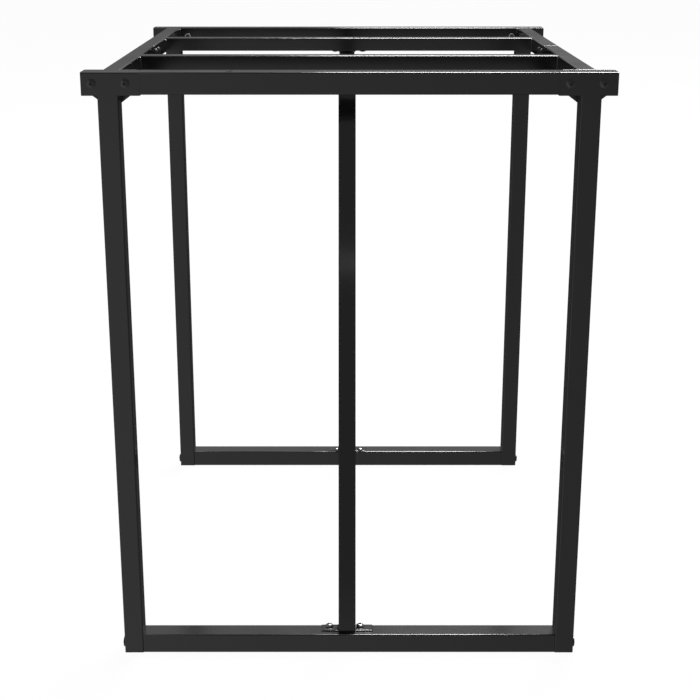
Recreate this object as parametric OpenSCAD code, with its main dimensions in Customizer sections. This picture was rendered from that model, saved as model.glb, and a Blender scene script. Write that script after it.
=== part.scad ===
// Knock-down steel base for a square table top.
// Two rectangular leg frames stand at the front and the rear. Two side rails, each spliced
// at its middle, join their top corners. Two cross-bars tie the side rails together, and a
// strut leans from each bottom rail up to the nearer cross-bar.
// Origin: middle of the footprint, on the floor. The front is towards -Y.

/* [Overall] */
// Width over the outer ends of the corner heads
frame_w = 600; // [500:10:800]
// Length over the outer faces of the two leg frames
frame_l = 600; // [540:10:900]
// Height from the floor to the top faces of the rails
frame_h = 728; // [600:1:900]

/* [Leg frames] */
// Width of a post, seen from the front
post_w = 23.5; // [22:0.5:26]
// Depth of the posts and of the leg frames' rails
tube_d = 24; // [24:0.5:26]
// Height of a bottom rail
bottom_rail_h = 25; // [24:0.5:28]
// Height of a top rail between its two corner heads
top_rail_h = 25.2; // [24:0.1:26]
// Height of a corner head
head_h = 26.4; // [26:0.1:28]
// Length of a corner head
head_l = 65.5; // [64:0.5:70]
// How far a corner head reaches past the outer face of its post
head_overhang = 17.9; // [16:0.1:19]
// Wall of the posts, heads and rails
wall = 2; // [1.5:0.1:2.5]
// Radius of the outer edges of the tubes
edge_r = 1.5; // [1:0.1:1.8]

/* [Side rails] */
// Height of a side rail
side_rail_h = 20; // [18:0.5:21]
// Width of a side rail
side_rail_w = 20.3; // [20:0.1:21]
// Outer face of a side rail to the outer face of the post
side_rail_inset = 2.8; // [2:0.1:3]
// Wall of the side rails and the cross-bars
side_wall = 1.6; // [1.5:0.1:2]
// Length of the insert that joins the two halves of a side rail
splice_l = 110; // [96:2:120]
// Distance of the nearer splice screw behind the seam
splice_screw_near = 14; // [10:1:20]
// Distance of the farther splice screw behind the seam
splice_screw_far = 37; // [30:1:42]

/* [End plates] */
// Thickness of the plate on the outer end of a side rail
end_plate_t = 3; // [2.5:0.1:4]
// Width of that plate at its top
end_plate_w = 59; // [58:0.5:59.5]
// Drop from the top of the frame to where the plate's corners are cut off
end_plate_shoulder = 23.5; // [22:0.5:24]
// Drop from the top of the frame to the plate's lower edge
end_plate_drop = 39.5; // [38:0.5:42]
// Width of that lower edge
end_plate_foot_w = 16.5; // [14:0.5:20]

/* [Cross-bars and struts] */
// Middle of the frame to the middle of a cross-bar
cross_bar_y = 117; // [90:1:140]
// Depth of a cross-bar
cross_bar_d = 20; // [19:0.5:22]
// Height of a cross-bar, whose top is flush with the side rails
cross_bar_h = 18; // [16:0.5:19]
// Width of a strut, seen from the front
strut_w = 21.5; // [20:0.5:24]
// Thickness of a strut, across its slope
strut_d = 14.5; // [13:0.5:15]
// Sideways offset of both struts from the middle of the frame
strut_x = -2.5; // [-5:0.5:5]
// Outer face of the leg frame to the outer face of the strut at its foot
strut_setback = 8; // [7.5:0.1:8.5]
// Length of the plates on the ends of a strut
strut_plate_l = 64.5; // [62:0.5:70]
// Thickness of those plates
strut_plate_t = 1.5; // [1.2:0.1:2]

/* [Fasteners] */
// Distance between the two screws of a corner
corner_screw_pitch = 37.6; // [36:0.1:38]
// Sideways offset of each corner's pair of screws from the middle of its head
corner_screw_shift = -2; // [-2.5:0.1:0]
// Drop from the top of the frame to the corner screws
corner_screw_drop = 12.4; // [12:0.1:13]
// Distance between the two screws of a strut plate
strut_screw_pitch = 39; // [38:0.1:40]
// Sideways offset of each strut's pair of screws from the middle of the strut
strut_screw_shift = -3; // [-3:0.1:0]
// Height of the bolts that hold the bottom rails
rail_bolt_z = 9; // [9:0.1:12]
// Diameter of the table top's fixing holes
top_hole_d = 8; // [6:0.5:9]
// Distance between the two fixing holes of a top rail
top_hole_pitch = 270; // [200:10:300]

/* [Hidden] */

// Black powder coat, black screws, bare plugs and zinc-plated inner pieces
coat = "#2c2d2f";
screw_black = "#202123";
plug_black = "#1a1a1b";
zinc = "#b4b8ba";

// The leg frames' places
front_y = -frame_l / 2;
frame_mid_y = front_y + tube_d / 2;
head_x = frame_w / 2 - head_l / 2;
head_inner_x = frame_w / 2 - head_l;
post_x = frame_w / 2 - head_overhang - post_w / 2;
post_inner_x = post_x - post_w / 2;
plug_flange = 2;
post_l = frame_h - head_h - plug_flange;

// The side rails' places
side_rail_x = frame_w / 2 - head_overhang - side_rail_inset - side_rail_w / 2;
side_rail_inner_x = side_rail_x - side_rail_w / 2;
side_rail_z = frame_h - side_rail_h / 2;
end_plate_y = front_y + tube_d;
side_rail_l = -(end_plate_y + end_plate_t);
splice_screw_y = [splice_screw_near, splice_screw_far];

// The struts, from the top of the foot plate to the underside of the cross-bar
strut_foot_z = bottom_rail_h + strut_plate_t;
strut_head_z = frame_h - cross_bar_h;
strut_rise = strut_head_z - strut_foot_z;
// The lean is found from the run between the two outer edges of the strut
strut_run_guess = frame_l / 2 - cross_bar_y - strut_setback - strut_d / 2;
strut_cut_d = strut_d / cos(atan(strut_run_guess / strut_rise));
strut_foot_y = front_y + strut_setback + strut_cut_d / 2;
strut_head_y = -cross_bar_y;
strut_lean = atan((strut_head_y - strut_foot_y) / strut_rise);
strut_plate_d = strut_cut_d;
strut_foot_screw_y = strut_foot_y + 3.1;

// Screws: a low dome with a hexagon socket on a plain shank
m6_shank = 6;
m5_shank = 5;
hole_play = 0.5;
thread_play = 0.1;
// Their heads: [diameter, height, height of the rim under the dome]
corner_screw_head = [10.8, 2.2, 0.5];
rail_bolt_head = [12.6, 3.6, 2.5];
strut_screw_head = [10.4, 2.2, 0.5];
strut_foot_screw_head = [10, 3.4, 1];
splice_screw_head = [9.6, 2.6, 0.5];
corner_screw_l = 34;
rail_bolt_l = 34;
strut_foot_screw_l = 12;
splice_screw_l = 7;
// Depth of their sockets below the underside of the head
socket_sink = 1;
nut_d = 8.8;
nut_t = 5;
rivet_nut_d = 6.8;
nut_plate_t = 4;
strut_head_screw_l = strut_plate_t + nut_plate_t;
round_fn = 48;

// ---- shared shapes ----

// Outline of a tube: a rectangle with rounded corners
module outline(w, d, r = edge_r) {
    square([w - 2 * r, d], center = true);
    square([w, d - 2 * r], center = true);
    for (x = [-1, 1], y = [-1, 1])
        translate([x * (w / 2 - r), y * (d / 2 - r)])
            circle(r = r, $fn = round_fn);
}

// A tube that stands on z = 0
module tube(w, d, l, t = wall) {
    linear_extrude(l)
        difference() {
            outline(w, d);
            square([w - 2 * t, d - 2 * t], center = true);
        }
}

// Turns a piece that stands along +Z to lie along +X; its width then runs along Y
module lay_along_x() {
    rotate([90, 0, 90]) children();
}

// Turns a piece that stands along +Z to lie along +Y; its width stays along X
module lay_along_y() {
    rotate([-90, 0, 0]) children();
}

// The rear of the base is its front turned half round
module rear() {
    rotate([0, 0, 180]) children();
}

module front_and_rear() {
    children();
    rear() children();
}

// The struts and the bottom rails they stand on mirror each other instead, because both
// struts sit on the same side of the middle
module mirrored() {
    mirror([0, 1, 0]) children();
}

// A straight round hole cutter that runs both ways from its middle
module drill(d, l) {
    cylinder(h = l, d = d, center = true, $fn = round_fn);
}

// Head on z = 0 and upwards, shank downwards
module screw(head, shank_d, shank_l) {
    socket = shank_d < m6_shank ? 3 : 4;
    cap = head[1] - head[2];
    ball_r = (head[0] * head[0] / 4 + cap * cap) / (2 * cap);
    difference() {
        union() {
            intersection() {
                translate([0, 0, head[1] - ball_r])
                    sphere(r = ball_r, $fn = 96);
                cylinder(h = head[1], d = head[0], $fn = round_fn);
            }
            translate([0, 0, -shank_l])
                cylinder(h = shank_l + head[1] / 2, d = shank_d, $fn = round_fn);
        }
        translate([0, 0, -socket_sink])
            cylinder(h = head[1] + 2 * socket_sink, d = socket / cos(30), $fn = 6);
    }
}

// A round nut that stands on z = 0
module nut(d, t, thread_d) {
    difference() {
        cylinder(h = t, d = d, $fn = round_fn);
        drill(thread_d + thread_play, 3 * t);
    }
}

// ---- leg frames ----

// side is -1 for the left post of the front frame and 1 for the right one
module post(side) {
    translate([side * post_x, frame_mid_y, plug_flange])
        difference() {
            tube(post_w, tube_d, post_l);
            translate([0, 0, rail_bolt_z - plug_flange])
                rotate([0, 90, 0])
                    drill(m6_shank + hole_play, 2 * post_w);
        }
}

// Places its children at the two screws of one corner of the front frame
module at_corner_screws(side) {
    for (k = [-0.5, 0.5])
        translate([side * head_x + corner_screw_shift + k * corner_screw_pitch, 0,
                   frame_h - corner_screw_drop])
            children();
}

module head(side) {
    difference() {
        translate([side * head_x - head_l / 2, frame_mid_y, frame_h - head_h / 2])
            lay_along_x()
                tube(tube_d, head_h, head_l);
        at_corner_screws(side)
            translate([0, frame_mid_y, 0])
                rotate([90, 0, 0])
                    drill(m6_shank + hole_play, 2 * tube_d);
    }
}

// Cap with a short skirt inside the open outer end of a head
module head_plug(side) {
    cap_t = 1.5;
    skirt = 4;
    skirt_wall = 1.5;
    inner = [head_h - 2 * wall, tube_d - 2 * wall];
    translate([side * frame_w / 2, frame_mid_y, frame_h - head_h / 2])
        rotate([0, side * -90, 0])
            difference() {
                linear_extrude(cap_t + skirt)
                    square(inner, center = true);
                translate([0, 0, cap_t])
                    linear_extrude(skirt + 1)
                        square([inner[0] - 2 * skirt_wall, inner[1] - 2 * skirt_wall], center = true);
            }
}

// Flange under the post and a short skirt inside it
module foot_plug(side) {
    skirt = 4;
    translate([side * post_x, frame_mid_y, 0]) {
        linear_extrude(plug_flange)
            outline(post_w, tube_d);
        linear_extrude(plug_flange + skirt)
            square([post_w - 2 * wall, tube_d - 2 * wall], center = true);
    }
}

module top_rail() {
    difference() {
        translate([-head_inner_x, frame_mid_y, frame_h - top_rail_h / 2])
            lay_along_x()
                tube(tube_d, top_rail_h, 2 * head_inner_x);
        for (k = [-0.5, 0.5])
            translate([k * top_hole_pitch, frame_mid_y, frame_h - top_rail_h / 2])
                drill(top_hole_d, 2 * top_rail_h);
    }
}

// Inner tube that carries the end of a top rail in its head; the inner corner screw
// passes through it
module top_rail_tongue(side) {
    tongue_play = 0.2;
    tongue_h = top_rail_h - 2 * wall - tongue_play;
    in_head = 24;
    in_rail = 40;
    start_x = side > 0 ? head_inner_x - in_rail : -head_inner_x - in_head;
    difference() {
        translate([start_x, frame_mid_y, frame_h - wall - tongue_play / 2 - tongue_h / 2])
            lay_along_x()
                tube(tube_d - 2 * wall - tongue_play, tongue_h, in_rail + in_head);
        at_corner_screws(side)
            translate([0, frame_mid_y, 0])
                rotate([90, 0, 0])
                    drill(m6_shank + hole_play, 2 * tube_d);
    }
}

// Middle of a strut's pair of screws; turn is 1 at the front and -1 at the rear
function strut_screws_x(turn) = strut_x + turn * strut_screw_shift;

// Places its children at the two foot screws of a strut
module at_strut_foot_screws(turn) {
    for (k = [-0.5, 0.5])
        translate([strut_screws_x(turn) + k * strut_screw_pitch, strut_foot_screw_y, bottom_rail_h])
            children();
}

module bottom_rail(turn) {
    difference() {
        translate([-post_inner_x, frame_mid_y, bottom_rail_h / 2])
            lay_along_x()
                tube(tube_d, bottom_rail_h, 2 * post_inner_x);
        at_strut_foot_screws(turn)
            drill(rivet_nut_d, 3 * wall);
    }
}

// Threaded block fixed inside the end of a bottom rail
module bottom_rail_end_nut(side) {
    block_l = 10;
    block_play = 0.1;
    low_x = side > 0 ? post_inner_x - block_l : -post_inner_x;
    difference() {
        translate([low_x, frame_mid_y - tube_d / 2 + wall + block_play, wall + block_play])
            cube([block_l, tube_d - 2 * (wall + block_play), bottom_rail_h - 2 * (wall + block_play)]);
        translate([side * post_inner_x, frame_mid_y, rail_bolt_z])
            rotate([0, 90, 0])
                drill(m6_shank + thread_play, 3 * block_l);
    }
}

module bottom_rail_bolt(side) {
    translate([side * (post_x + post_w / 2), frame_mid_y, rail_bolt_z])
        rotate([0, side * 90, 0])
            screw(rail_bolt_head, m6_shank, rail_bolt_l);
}

// ---- side rails ----

// The front half of one side rail, from its end plate to the seam
module side_rail_half(side, with_screw_holes) {
    inner_face = side * side_rail_inner_x;
    difference() {
        translate([side * side_rail_x, -side_rail_l, side_rail_z])
            lay_along_y()
                tube(side_rail_w, side_rail_h, side_rail_l, side_wall);
        if (with_screw_holes)
            for (y = splice_screw_y)
                translate([inner_face, -y, side_rail_z])
                    rotate([0, 90, 0])
                        drill(m5_shank + hole_play, 3 * side_wall);
    }
}

module end_plate_outline() {
    polygon([[-end_plate_w / 2, 0], [end_plate_w / 2, 0],
             [end_plate_w / 2, -end_plate_shoulder],
             [end_plate_foot_w / 2, -end_plate_drop],
             [-end_plate_foot_w / 2, -end_plate_drop],
             [-end_plate_w / 2, -end_plate_shoulder]]);
}

module end_plate(side) {
    difference() {
        translate([side * post_x, end_plate_y + end_plate_t, frame_h])
            rotate([90, 0, 0])
                linear_extrude(end_plate_t)
                    end_plate_outline();
        at_corner_screws(side)
            translate([0, end_plate_y, 0])
                rotate([90, 0, 0])
                    drill(m6_shank + hole_play, 4 * end_plate_t);
    }
}

module corner_screw_pair(side) {
    at_corner_screws(side)
        translate([0, front_y, 0])
            rotate([90, 0, 0])
                screw(corner_screw_head, m6_shank, corner_screw_l);
}

module end_plate_nut_pair(side) {
    at_corner_screws(side)
        translate([0, end_plate_y + end_plate_t, 0])
            lay_along_y()
                nut(nut_d, nut_t, m6_shank);
}

// Inner tube across the seam, threaded for the splice screws
module splice_insert(side) {
    fit_play = 0.2;
    insert_w = side_rail_w - 2 * side_wall - fit_play;
    insert_h = side_rail_h - 2 * side_wall - fit_play;
    difference() {
        translate([side * side_rail_x, -splice_l / 2, side_rail_z])
            lay_along_y()
                tube(insert_w, insert_h, splice_l, side_wall);
        for (y = splice_screw_y)
            translate([side * side_rail_inner_x, y, side_rail_z])
                rotate([0, 90, 0])
                    drill(m5_shank + thread_play, 5 * side_wall);
    }
}

module splice_screw_pair(side) {
    for (y = splice_screw_y)
        translate([side * side_rail_inner_x, y, side_rail_z])
            rotate([0, side * -90, 0])
                screw(splice_screw_head, m5_shank, splice_screw_l);
}

// ---- cross-bars and struts ----

// Channel with its mouth down, between the two side rails
module cross_bar() {
    mouth_d = cross_bar_d - 2 * side_wall;
    translate([-side_rail_inner_x, -cross_bar_y, frame_h - cross_bar_h / 2])
        lay_along_x()
            linear_extrude(2 * side_rail_inner_x)
                difference() {
                    outline(cross_bar_d, cross_bar_h);
                    translate([-mouth_d / 2, -cross_bar_h])
                        square([mouth_d, 1.5 * cross_bar_h - side_wall]);
                }
}

// Places its children at the two head screws of a strut
module at_strut_head_screws(turn) {
    for (k = [-0.5, 0.5])
        translate([strut_screws_x(turn) + k * strut_screw_pitch, strut_head_y, strut_head_z])
            children();
}

// Plate across the mouth of a cross-bar
module mouth_plate(turn, thickness, hole_d) {
    mouth_play = 0.1;
    plate_d = cross_bar_d - 2 * (side_wall + mouth_play);
    difference() {
        translate([strut_x - strut_plate_l / 2, strut_head_y - plate_d / 2, strut_head_z])
            cube([strut_plate_l, plate_d, thickness]);
        at_strut_head_screws(turn)
            drill(hole_d, 3 * thickness);
    }
}

module strut() {
    over = 60;
    intersection() {
        translate([strut_x, strut_foot_y, strut_foot_z])
            rotate([-strut_lean, 0, 0])
                translate([0, 0, -over])
                    tube(strut_w, strut_d, strut_rise / cos(strut_lean) + 2 * over, side_wall);
        translate([-frame_w / 2, -frame_l, strut_foot_z])
            cube([frame_w, 2 * frame_l, strut_rise]);
    }
}

// Plate under the foot of a strut
module strut_foot_plate(turn) {
    difference() {
        translate([strut_x - strut_plate_l / 2, strut_foot_y - strut_plate_d / 2, bottom_rail_h])
            cube([strut_plate_l, strut_plate_d, strut_plate_t]);
        at_strut_foot_screws(turn)
            drill(m5_shank + hole_play, 4 * strut_plate_t);
    }
}

// Plate on the head of a strut, seated in the mouth of the cross-bar
module strut_head_plate(turn) {
    mouth_plate(turn, strut_plate_t, m5_shank + hole_play);
}

// Threaded plate welded inside the cross-bar, on top of the strut's head plate
module cross_bar_nut_plate(turn) {
    translate([0, 0, strut_plate_t])
        mouth_plate(turn, nut_plate_t, m5_shank + thread_play);
}

module strut_foot_screw_pair(turn) {
    at_strut_foot_screws(turn)
        translate([0, 0, strut_plate_t])
            screw(strut_foot_screw_head, m5_shank, strut_foot_screw_l);
}

// Rivet nut in the top wall of the bottom rail
module strut_foot_nut_pair(turn) {
    rivet_nut_l = 9;
    at_strut_foot_screws(turn)
        translate([0, 0, -rivet_nut_l])
            nut(rivet_nut_d, rivet_nut_l, m5_shank);
}

module strut_head_screw_pair(turn) {
    at_strut_head_screws(turn)
        rotate([180, 0, 0])
            screw(strut_screw_head, m5_shank, strut_head_screw_l);
}

// ---- one module per sub-part ----

module left_front_post() { color(coat) post(-1); }
module right_front_post() { color(coat) post(1); }
module left_rear_post() { color(coat) rear() post(1); }
module right_rear_post() { color(coat) rear() post(-1); }

module left_front_head() { color(coat) head(-1); }
module right_front_head() { color(coat) head(1); }
module left_rear_head() { color(coat) rear() head(1); }
module right_rear_head() { color(coat) rear() head(-1); }

module head_end_plugs() {
    color(plug_black)
        front_and_rear()
            for (side = [-1, 1]) head_plug(side);
}

module post_foot_plugs() {
    color(plug_black)
        front_and_rear()
            for (side = [-1, 1]) foot_plug(side);
}

module front_top_rail() { color(coat) top_rail(); }
module rear_top_rail() { color(coat) rear() top_rail(); }

module top_rail_tongues() {
    color(zinc)
        front_and_rear()
            for (side = [-1, 1]) top_rail_tongue(side);
}

module front_bottom_rail() { color(coat) bottom_rail(1); }
module rear_bottom_rail() { color(coat) mirrored() bottom_rail(-1); }

module bottom_rail_end_nuts() {
    color(zinc)
        front_and_rear()
            for (side = [-1, 1]) bottom_rail_end_nut(side);
}

module bottom_rail_bolts() {
    color(screw_black)
        front_and_rear()
            for (side = [-1, 1]) bottom_rail_bolt(side);
}

module left_front_side_rail() { color(coat) side_rail_half(-1, false); }
module right_front_side_rail() { color(coat) side_rail_half(1, false); }
module left_rear_side_rail() { color(coat) rear() side_rail_half(1, true); }
module right_rear_side_rail() { color(coat) rear() side_rail_half(-1, true); }

module left_front_end_plate() { color(coat) end_plate(-1); }
module right_front_end_plate() { color(coat) end_plate(1); }
module left_rear_end_plate() { color(coat) rear() end_plate(1); }
module right_rear_end_plate() { color(coat) rear() end_plate(-1); }

module corner_screws() {
    color(screw_black)
        front_and_rear()
            for (side = [-1, 1]) corner_screw_pair(side);
}

module end_plate_nuts() {
    color(zinc)
        front_and_rear()
            for (side = [-1, 1]) end_plate_nut_pair(side);
}

module left_splice_insert() { color(zinc) splice_insert(-1); }
module right_splice_insert() { color(zinc) splice_insert(1); }

module splice_screws() {
    color(screw_black)
        for (side = [-1, 1]) splice_screw_pair(side);
}

module front_cross_bar() { color(coat) cross_bar(); }
module rear_cross_bar() { color(coat) rear() cross_bar(); }

module cross_bar_nut_plates() {
    color(zinc) {
        cross_bar_nut_plate(1);
        mirrored() cross_bar_nut_plate(-1);
    }
}

module front_strut() { color(coat) strut(); }
module rear_strut() { color(coat) mirrored() strut(); }

module front_strut_foot_plate() { color(coat) strut_foot_plate(1); }
module rear_strut_foot_plate() { color(coat) mirrored() strut_foot_plate(-1); }

module front_strut_head_plate() { color(coat) strut_head_plate(1); }
module rear_strut_head_plate() { color(coat) mirrored() strut_head_plate(-1); }

module strut_foot_screws() {
    color(screw_black) {
        strut_foot_screw_pair(1);
        mirrored() strut_foot_screw_pair(-1);
    }
}

module strut_foot_nuts() {
    color(zinc) {
        strut_foot_nut_pair(1);
        mirrored() strut_foot_nut_pair(-1);
    }
}

module strut_head_screws() {
    color(screw_black) {
        strut_head_screw_pair(1);
        mirrored() strut_head_screw_pair(-1);
    }
}

left_front_post();
right_front_post();
left_rear_post();
right_rear_post();
left_front_head();
right_front_head();
left_rear_head();
right_rear_head();
head_end_plugs();
post_foot_plugs();
front_top_rail();
rear_top_rail();
top_rail_tongues();
front_bottom_rail();
rear_bottom_rail();
bottom_rail_end_nuts();
bottom_rail_bolts();
left_front_side_rail();
right_front_side_rail();
left_rear_side_rail();
right_rear_side_rail();
left_front_end_plate();
right_front_end_plate();
left_rear_end_plate();
right_rear_end_plate();
corner_screws();
end_plate_nuts();
left_splice_insert();
right_splice_insert();
splice_screws();
front_cross_bar();
rear_cross_bar();
cross_bar_nut_plates();
front_strut();
rear_strut();
front_strut_foot_plate();
rear_strut_foot_plate();
front_strut_head_plate();
rear_strut_head_plate();
strut_foot_screws();
strut_foot_nuts();
strut_head_screws();
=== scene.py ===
"""Looks for the black steel table base: powder coat, welds, softened edges, studio and camera.

Everything is in metres, in the CAD frame: the front faces -Y, +Z is up, the floor is z = 0.
"""

import math

import bmesh
import bpy
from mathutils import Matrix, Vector


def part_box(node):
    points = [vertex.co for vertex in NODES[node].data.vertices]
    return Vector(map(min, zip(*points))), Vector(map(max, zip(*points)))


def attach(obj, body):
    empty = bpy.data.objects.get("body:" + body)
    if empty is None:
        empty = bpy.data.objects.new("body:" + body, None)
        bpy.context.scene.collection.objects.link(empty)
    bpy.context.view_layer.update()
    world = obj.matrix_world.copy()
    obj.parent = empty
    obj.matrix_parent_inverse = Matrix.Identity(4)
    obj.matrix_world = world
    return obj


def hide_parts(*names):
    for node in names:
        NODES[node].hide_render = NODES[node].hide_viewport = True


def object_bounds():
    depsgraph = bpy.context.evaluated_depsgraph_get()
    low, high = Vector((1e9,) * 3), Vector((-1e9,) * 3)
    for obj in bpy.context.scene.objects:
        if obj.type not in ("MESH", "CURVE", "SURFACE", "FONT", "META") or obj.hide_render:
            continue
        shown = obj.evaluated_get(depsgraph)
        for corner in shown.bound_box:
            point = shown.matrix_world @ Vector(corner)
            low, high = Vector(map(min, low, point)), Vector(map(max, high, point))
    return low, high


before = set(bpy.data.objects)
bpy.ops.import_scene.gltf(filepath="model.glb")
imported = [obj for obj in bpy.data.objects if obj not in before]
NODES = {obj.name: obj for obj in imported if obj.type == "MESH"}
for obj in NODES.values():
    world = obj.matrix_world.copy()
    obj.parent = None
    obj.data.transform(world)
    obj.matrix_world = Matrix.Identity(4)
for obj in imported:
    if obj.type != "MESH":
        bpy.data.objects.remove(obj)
CAD_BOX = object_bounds()
MM = 0.001
scene = bpy.context.scene

# ---- the camera: in front of the base and above it, looking slightly down ----

EYE = Vector((-0.00465, -1.755, 0.900))
PITCH = 15.5
LENS = 67.0
SHIFT = (0.0066, -0.11)


def make_camera():
    data = bpy.data.cameras.new("camera")
    data.sensor_width = 36
    data.lens = LENS
    data.shift_x, data.shift_y = SHIFT
    cam = bpy.data.objects.new("camera", data)
    cam.location = EYE
    cam.rotation_euler = (math.radians(90 - PITCH), 0, 0)
    scene.collection.objects.link(cam)
    scene.camera = cam


# ---- materials ----


def new_material(name):
    """A node material with one Principled shader; returns the material, its tree and the shader."""
    mat = bpy.data.materials.new(name)
    mat.use_nodes = True
    tree = mat.node_tree
    tree.nodes.clear()
    out = tree.nodes.new("ShaderNodeOutputMaterial")
    shader = tree.nodes.new("ShaderNodeBsdfPrincipled")
    tree.links.new(shader.outputs["BSDF"], out.inputs["Surface"])
    return mat, tree, shader


def noise(tree, coords, cell, detail=2.0, stretch=(1, 1, 1)):
    """Noise whose cells are about that many metres across."""
    mapping = tree.nodes.new("ShaderNodeMapping")
    mapping.inputs["Scale"].default_value = [k / cell for k in stretch]
    node = tree.nodes.new("ShaderNodeTexNoise")
    node.inputs["Scale"].default_value = 1.0
    node.inputs["Detail"].default_value = detail
    tree.links.new(coords, mapping.inputs["Vector"])
    tree.links.new(mapping.outputs["Vector"], node.inputs["Vector"])
    return node.outputs["Fac"]


def remap(tree, value, low, high, from_low=0.3, from_high=0.7):
    node = tree.nodes.new("ShaderNodeMapRange")
    node.inputs["From Min"].default_value = from_low
    node.inputs["From Max"].default_value = from_high
    node.inputs["To Min"].default_value = low
    node.inputs["To Max"].default_value = high
    tree.links.new(value, node.inputs["Value"])
    return node.outputs["Result"]


def blend_colours(tree, factor, a, b):
    node = tree.nodes.new("ShaderNodeMix")
    node.data_type = "RGBA"
    node.inputs[6].default_value = (*a, 1)
    node.inputs[7].default_value = (*b, 1)
    tree.links.new(factor, node.inputs[0])
    return node.outputs[2]


def bump(tree, height, distance, strength=1.0, under=None):
    node = tree.nodes.new("ShaderNodeBump")
    node.inputs["Strength"].default_value = strength
    node.inputs["Distance"].default_value = distance
    tree.links.new(height, node.inputs["Height"])
    if under is not None:
        tree.links.new(under, node.inputs["Normal"])
    return node.outputs["Normal"]


def object_coords(tree):
    return tree.nodes.new("ShaderNodeTexCoord").outputs["Object"]


def powder_coat(name, dark, light, rough, peel=1.5e-6):
    """Satin black powder coat: orange peel, a fine grain, and faint clouds in colour and gloss."""
    mat, tree, shader = new_material(name)
    coords = object_coords(tree)
    clouds = noise(tree, coords, 0.06, 3.0)
    grain = noise(tree, coords, 0.0006, 1.0)
    orange_peel = noise(tree, coords, 0.0016, 1.5)
    tint = blend_colours(tree, remap(tree, clouds, 0, 1), dark, light)
    tree.links.new(tint, shader.inputs["Base Color"])
    tree.links.new(remap(tree, clouds, rough - 0.02, rough + 0.02), shader.inputs["Roughness"])
    waves = bump(tree, orange_peel, peel)
    tree.links.new(bump(tree, grain, peel / 6, under=waves), shader.inputs["Normal"])
    return mat


def black_oxide(name):
    """Black screws, with faint spots in their tint, gloss and surface."""
    mat, tree, shader = new_material(name)
    coords = object_coords(tree)
    spots = noise(tree, coords, 0.0012, 2.0)
    tint = blend_colours(tree, remap(tree, spots, 0, 1), (0.008,) * 3, (0.013,) * 3)
    tree.links.new(tint, shader.inputs["Base Color"])
    tree.links.new(remap(tree, spots, 0.26, 0.34), shader.inputs["Roughness"])
    tree.links.new(bump(tree, spots, 6e-6), shader.inputs["Normal"])
    return mat


def black_nickel(name):
    """Bright black plating, with faint swirls in its gloss."""
    mat, tree, shader = new_material(name)
    coords = object_coords(tree)
    swirls = noise(tree, coords, 0.0015, 2.0)
    shader.inputs["Metallic"].default_value = 1.0
    tint = blend_colours(tree, remap(tree, swirls, 0, 1), (0.13, 0.13, 0.135), (0.19, 0.19, 0.195))
    tree.links.new(tint, shader.inputs["Base Color"])
    tree.links.new(remap(tree, swirls, 0.18, 0.24), shader.inputs["Roughness"])
    tree.links.new(bump(tree, swirls, 4e-6), shader.inputs["Normal"])
    return mat


def moulded_plastic(name):
    """Black polyethylene with a fine spark-eroded grain."""
    mat, tree, shader = new_material(name)
    coords = object_coords(tree)
    grain = noise(tree, coords, 0.0005, 2.0)
    tint = blend_colours(tree, remap(tree, grain, 0, 1), (0.010,) * 3, (0.015,) * 3)
    tree.links.new(tint, shader.inputs["Base Color"])
    tree.links.new(remap(tree, grain, 0.5, 0.62), shader.inputs["Roughness"])
    tree.links.new(bump(tree, grain, 15e-6), shader.inputs["Normal"])
    return mat


def zinc_plate(name):
    """Bright zinc plating with drawn streaks along the length."""
    mat, tree, shader = new_material(name)
    coords = object_coords(tree)
    streaks = noise(tree, coords, 0.0008, 3.0, stretch=(0.05, 1, 1))
    shader.inputs["Metallic"].default_value = 1.0
    tint = blend_colours(tree, remap(tree, streaks, 0, 1), (0.42, 0.43, 0.44), (0.62, 0.63, 0.64))
    tree.links.new(tint, shader.inputs["Base Color"])
    tree.links.new(remap(tree, streaks, 0.28, 0.42), shader.inputs["Roughness"])
    tree.links.new(bump(tree, streaks, 8e-6), shader.inputs["Normal"])
    return mat


MATERIALS = {
    "coat": powder_coat("coat", (0.0024, 0.0024, 0.0025), (0.0034, 0.0034, 0.0035), 0.19),
    # The struts wear the same powder coat as the frame. This copy's slightly lighter base tint is
    # painted light, set for how light falls on the struts, and its lower roughness gives their narrow
    # highlight.
    "strut_coat": powder_coat("strut_coat", (0.0030, 0.0030, 0.0031), (0.0042, 0.0042, 0.0043), 0.08),
    "black_screws": black_oxide("black_screws"),
    "plugs": moulded_plastic("plugs"),
    "zinc": zinc_plate("zinc"),
}


def paint_nodes():
    """Each CAD node takes the material named by its slot in model.glb.

    The foot screws shine more than the others in the photo, so they are plated.
    """
    for node in NODES.values():
        for slot in node.material_slots:
            slot.material = MATERIALS[slot.material.name.split(".")[0]]
    NODES["strut_foot_screws"].material_slots[0].material = black_nickel("black_nickel")


# ---- softened edges of the cut plates and rail ends ----


def soften(name, radius, segments=3):
    node = NODES[name]
    weld = node.modifiers.new("weld", "WELD")
    weld.merge_threshold = 1e-6
    bevel = node.modifiers.new("soft_edges", "BEVEL")
    bevel.width = radius
    bevel.segments = segments
    bevel.limit_method = "ANGLE"
    bevel.angle_limit = math.radians(50)
    bevel.harden_normals = True


def soften_edges():
    for end in ("front", "rear"):
        soften(end + "_bottom_rail", 0.5 * MM, 2)
        soften(end + "_top_rail", 0.25 * MM, 2)
        for side in ("left", "right"):
            soften(side + "_" + end + "_end_plate", 0.6 * MM)
            soften(side + "_" + end + "_side_rail", 0.8 * MM, 3)


# ---- welds ----

EDGE_R = 1.5 * MM
PLATE_R = 1.2 * MM
EPSILON = 0.01 * MM
# A bead: the pitch and height of its ripples, a slower unevenness, how thin its ends are
RIPPLE = 1.5 * MM
RIPPLE_HIGH = 0.07
UNEVEN = 1.7
UNEVEN_HIGH = 0.04
BEAD_TIP = 0.15
BEAD_STEP = 0.25 * MM
BEAD_SINK = 0.3 * MM
BEAD_SIDES = 5
BIG_BEAD = 2.0 * MM
SMALL_BEAD = 1.8 * MM
CORNER_POINTS = 7


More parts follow.
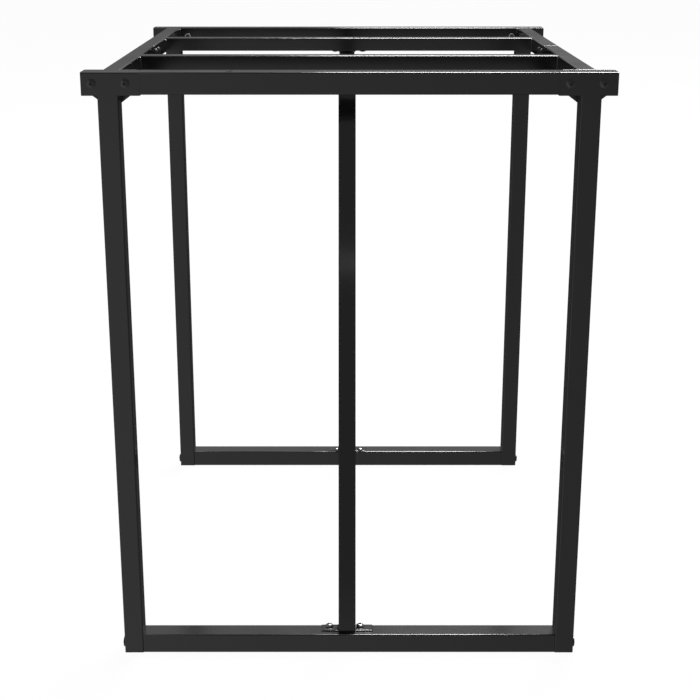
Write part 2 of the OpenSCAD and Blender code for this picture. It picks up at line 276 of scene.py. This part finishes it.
def finish_piece(name, bm, slot="coat"):
    """Turns a bmesh into a piece of the object, with a slot's material."""
    bmesh.ops.recalc_face_normals(bm, faces=bm.faces)
    mesh = bpy.data.meshes.new(name)
    bm.to_mesh(mesh)
    bm.free()
    mesh.materials.append(MATERIALS[slot])
    piece = bpy.data.objects.new(name, mesh)
    scene.collection.objects.link(piece)
    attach(piece, "root")
    return piece


def add_bead(bm, start, end, along_a, along_b, leg):
    """A rippled fillet weld from start to end, in the corner between two faces.

    The faces run away from the corner in the directions along_a and along_b.
    """
    start, end = Vector(start), Vector(end)
    along_a, along_b = Vector(along_a), Vector(along_b)
    length = (end - start).length
    steps = max(8, round(length / BEAD_STEP))
    root = -(along_a + along_b) * BEAD_SINK
    rings = []
    for i in range(steps + 1):
        at = length * i / steps
        swell = 1 + RIPPLE_HIGH * math.cos(2 * math.pi * at / RIPPLE)
        swell += UNEVEN_HIGH * math.sin(UNEVEN * at / RIPPLE)
        from_end = min(at, length - at) / leg
        taper = min(1, BEAD_TIP + from_end * (2 - from_end)) if from_end < 1 else 1
        size = leg * swell * math.sqrt(taper)
        place = start.lerp(end, i / steps)
        ring = [bm.verts.new(place + root)]
        for k in range(BEAD_SIDES + 1):
            angle = math.radians(90 * k / BEAD_SIDES)
            bulge = 0.80 + 0.20 * abs(math.cos(2 * angle))
            point = along_a * math.cos(angle) * size * bulge + along_b * math.sin(angle) * size * bulge
            if k == 0:
                point += root.dot(along_b) * along_b
            if k == BEAD_SIDES:
                point += root.dot(along_a) * along_a
            ring.append(bm.verts.new(place + point))
        rings.append(ring)
    for low, high in zip(rings, rings[1:]):
        for k in range(len(low)):
            n = (k + 1) % len(low)
            face = bm.faces.new((low[k], low[n], high[n], high[k]))
            face.smooth = 1 <= k <= BEAD_SIDES
    bm.faces.new(rings[0])
    bm.faces.new(rings[-1])


def post_outline(low, high, z):
    """Points around a post's rounded outline at the height z."""
    points = []
    for cx, cy, turn in ((1, 1, 0), (0, 1, 90), (0, 0, 180), (1, 0, 270)):
        centre_x = high.x - EDGE_R if cx else low.x + EDGE_R
        centre_y = high.y - EDGE_R if cy else low.y + EDGE_R
        for k in range(CORNER_POINTS):
            angle = math.radians(turn + 90 * k / (CORNER_POINTS - 1))
            points.append((centre_x + EDGE_R * math.cos(angle), centre_y + EDGE_R * math.sin(angle), z))
    return points


def weld_head(side, end):
    """The joint of a post and its head: flush at the front and the back, a bead on each side."""
    low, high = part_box(side + "_" + end + "_post")
    bm = bmesh.new()
    rings = [[bm.verts.new(c) for c in post_outline(low, high, z)] for z in (high.z, high.z + EDGE_R)]
    count = len(rings[0])
    for k in range(count):
        n = (k + 1) % count
        face = bm.faces.new((rings[0][k], rings[0][n], rings[1][n], rings[1][k]))
        face.smooth = (k + 1) % CORNER_POINTS != 0
    bm.faces.new(rings[0])
    bm.faces.new(rings[1])
    for x, away in ((low.x, -1), (high.x, 1)):
        start, stop = (x, low.y + EDGE_R, high.z), (x, high.y - EDGE_R, high.z)
        add_bead(bm, start, stop, (away, 0, 0), (0, 0, -1), BIG_BEAD)
    finish_piece(side + "_" + end + "_head_weld", bm)


def weld_end_plate(side, end):
    """Beads on the inner side and the underside of a side rail, where it meets its end plate."""
    rail_low, rail_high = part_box(side + "_" + end + "_side_rail")
    plate_low, plate_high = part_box(side + "_" + end + "_end_plate")
    back = 1 if end == "front" else -1
    y = plate_high.y if end == "front" else plate_low.y
    inner_x, inward = (rail_high.x, 1) if side == "left" else (rail_low.x, -1)
    bm = bmesh.new()
    low_z = rail_low.z
    start, stop = (inner_x, y, low_z + EDGE_R), (inner_x, y, rail_high.z - EDGE_R)
    add_bead(bm, start, stop, (inward, 0, 0), (0, back, 0), BIG_BEAD)
    start, stop = (rail_low.x + EDGE_R, y, low_z), (rail_high.x - EDGE_R, y, low_z)
    add_bead(bm, start, stop, (0, 0, -1), (0, back, 0), BIG_BEAD)
    finish_piece(side + "_" + end + "_end_plate_weld", bm)


def weld_cross_bar(end):
    """Upright beads at both ends of a cross-bar, on its front and back."""
    low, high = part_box(end + "_cross_bar")
    bm = bmesh.new()
    for x, inward in ((low.x, 1), (high.x, -1)):
        for y, away in ((low.y, -1), (high.y, 1)):
            start, stop = (x, y, low.z + 0.5 * MM), (x, y, high.z - EDGE_R)
            add_bead(bm, start, stop, (inward, 0, 0), (0, away, 0), SMALL_BEAD)
    finish_piece(end + "_cross_bar_weld", bm)


def weld_strut(end):
    """Beads on both sides of a strut, at its foot plate and at its head plate."""
    low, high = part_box(end + "_strut")
    foot_low, foot_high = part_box(end + "_strut_foot_plate")
    head_low, head_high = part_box(end + "_strut_head_plate")
    bm = bmesh.new()
    foot = (foot_low, foot_high, foot_high.z, 1)
    head = (head_low, head_high, head_low.z, -1)
    for plate_low, plate_high, z, up in (foot, head):
        for x, away in ((low.x, -1), (high.x, 1)):
            start, stop = (x, plate_low.y + EDGE_R, z), (x, plate_high.y - EDGE_R, z)
            add_bead(bm, start, stop, (away, 0, 0), (0, 0, up), SMALL_BEAD)
    finish_piece(end + "_strut_weld", bm)


def round_plate(end):
    """The foot plate with its pressed, rounded upper edge, in place of the sharp CAD plate."""
    node = end + "_strut_foot_plate"
    low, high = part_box(node)
    bm = bmesh.new()
    bmesh.ops.create_cube(bm, size=1)
    for v in bm.verts:
        for i in range(3):
            v.co[i] = low[i] if v.co[i] < 0 else high[i]
    upper = [e for e in bm.edges if max(v.co.z for v in e.verts) > high.z - EPSILON]
    bmesh.ops.bevel(
        bm, geom=upper, offset=PLATE_R, segments=5, profile=0.5, affect="EDGES", clamp_overlap=True
    )
    for face in bm.faces:
        face.smooth = face.calc_area() < PLATE_R * (high.x - low.x)
    plate = finish_piece(end + "_rounded_foot_plate", bm)
    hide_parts(node)


def make_welds():
    for end in ("front", "rear"):
        round_plate(end)
        for side in ("left", "right"):
            weld_head(side, end)
            weld_end_plate(side, end)
        weld_cross_bar(end)
        weld_strut(end)


# ---- the studio ----

# Brightness of the surroundings in front: low on the left and right, and high
FRONT_LEFT, FRONT_RIGHT, FRONT_HIGH = 1.02, 0.52, 0.40
# Brightness of the surroundings behind: below the horizon, and high
BACK_FLOOR, BACK_HIGH = 0.075, 0.92
# Brightness of the floor and the background as the camera sees them
FLOOR_GLOW = 0.97
FLOOR_ALBEDO = 0.012
# The softbox behind: its elevation, distance, left edge, size and brightness
KEY_UP = math.radians(62)
KEY_FAR = 5.0
KEY_LEFT = -0.16
KEY_SIZE = (2.6, 3.0)
KEY_RADIANCE = 48
# The softbox at the front left
FILL_PLACE = (-2.6, -2.6, 1.4)
FILL_SIZE = (1.2, 1.2)
FILL_RADIANCE = 1.5
# The strip at the front that shows in the struts
GLOW_PLACE = (0.0, -4.2, 1.37)
GLOW_SIZE = (2.0, 0.08)
GLOW_RADIANCE = 0.65


def fade(tree, factor, a, b):
    """a where the factor is 0, b where it is 1."""
    node = tree.nodes.new("ShaderNodeMix")
    node.data_type = "FLOAT"
    for socket, value in ((node.inputs[0], factor), (node.inputs[2], a), (node.inputs[3], b)):
        if isinstance(value, (int, float)):
            socket.default_value = value
        else:
            tree.links.new(value, socket)
    return node.outputs[0]


def sky():
    """White to the camera. The object sees a grey studio, brighter high behind and on the front left."""
    world = bpy.data.worlds.new("studio")
    scene.world = world
    world.use_nodes = True
    tree = world.node_tree
    tree.nodes.clear()
    out = tree.nodes.new("ShaderNodeOutputWorld")
    shown = tree.nodes.new("ShaderNodeBackground")
    shown.inputs["Color"].default_value = (1, 1, 1, 1)
    shown.inputs["Strength"].default_value = 1.0
    lit = tree.nodes.new("ShaderNodeBackground")
    mix = tree.nodes.new("ShaderNodeMixShader")
    path = tree.nodes.new("ShaderNodeLightPath")
    coords = tree.nodes.new("ShaderNodeTexCoord")
    parts = tree.nodes.new("ShaderNodeSeparateXYZ")
    tree.links.new(coords.outputs["Generated"], parts.inputs[0])
    x, y, z = parts.outputs
    behind = remap(tree, y, 0, 1, -0.2, 0.2)
    front_low = remap(tree, x, FRONT_LEFT, FRONT_RIGHT, -0.25, 0.25)
    front = fade(tree, remap(tree, z, 0, 1, -0.09, -0.02), front_low, FRONT_HIGH)
    back_wall = remap(tree, z, 0, BACK_HIGH, 0.0, 0.5)
    back = fade(tree, remap(tree, z, 0, 1, -0.14, -0.11), BACK_FLOOR, back_wall)
    tree.links.new(fade(tree, behind, front, back), lit.inputs["Strength"])
    tree.links.new(path.outputs["Is Camera Ray"], mix.inputs[0])
    tree.links.new(lit.outputs[0], mix.inputs[1])
    tree.links.new(shown.outputs[0], mix.inputs[2])
    tree.links.new(mix.outputs[0], out.inputs["Surface"])


def floor_material():
    """White paper that is lit to pure white, with only contact shadows left."""
    mat = bpy.data.materials.new("floor")
    mat.use_nodes = True
    tree = mat.node_tree
    tree.nodes.clear()
    out = tree.nodes.new("ShaderNodeOutputMaterial")
    diffuse = tree.nodes.new("ShaderNodeBsdfDiffuse")
    diffuse.inputs["Color"].default_value = (FLOOR_ALBEDO, FLOOR_ALBEDO, FLOOR_ALBEDO, 1)
    glow = tree.nodes.new("ShaderNodeEmission")
    glow.inputs["Strength"].default_value = FLOOR_GLOW
    add = tree.nodes.new("ShaderNodeAddShader")
    tree.links.new(diffuse.outputs[0], add.inputs[0])
    tree.links.new(glow.outputs[0], add.inputs[1])
    tree.links.new(add.outputs[0], out.inputs["Surface"])
    return mat


def paper_floor():
    """The floor is only seen. The sky's lower half lights and mirrors in the object instead."""
    mesh = bpy.data.meshes.new("floor")
    bm = bmesh.new()
    bmesh.ops.create_grid(bm, x_segments=1, y_segments=1, size=30)
    bm.to_mesh(mesh)
    bm.free()
    mesh.materials.append(floor_material())
    floor = bpy.data.objects.new("floor", mesh)
    floor.location.z = -0.2 * MM
    floor.visible_diffuse = False
    floor.visible_glossy = False
    floor.visible_shadow = False
    scene.collection.objects.link(floor)


def softbox(name, place, aim, width, height, radiance):
    """A rectangular lamp with that radiance, which the camera doesn't see."""
    data = bpy.data.lights.new(name, "AREA")
    data.shape = "RECTANGLE"
    data.size, data.size_y = width, height
    data.energy = radiance * width * height * math.pi
    light = bpy.data.objects.new(name, data)
    light.location = place
    light.rotation_euler = (Vector(aim) - Vector(place)).to_track_quat("-Z", "Y").to_euler()
    light.visible_camera = False
    scene.collection.objects.link(light)


def make_lights():
    centre = (CAD_BOX[0] + CAD_BOX[1]) / 2
    key_x = KEY_LEFT + KEY_SIZE[0] / 2
    key_place = Vector((key_x, KEY_FAR * math.cos(KEY_UP), centre.z + KEY_FAR * math.sin(KEY_UP)))
    softbox("key_behind", key_place, (key_x, 0, centre.z), *KEY_SIZE, KEY_RADIANCE)
    softbox("front_left", FILL_PLACE, centre, *FILL_SIZE, FILL_RADIANCE)
    softbox("strut_glow", GLOW_PLACE, centre, *GLOW_SIZE, GLOW_RADIANCE)


# ---- put it together ----

make_camera()
paint_nodes()
soften_edges()
make_welds()
paper_floor()
sky()
make_lights()
scene.view_settings.view_transform = "Standard"
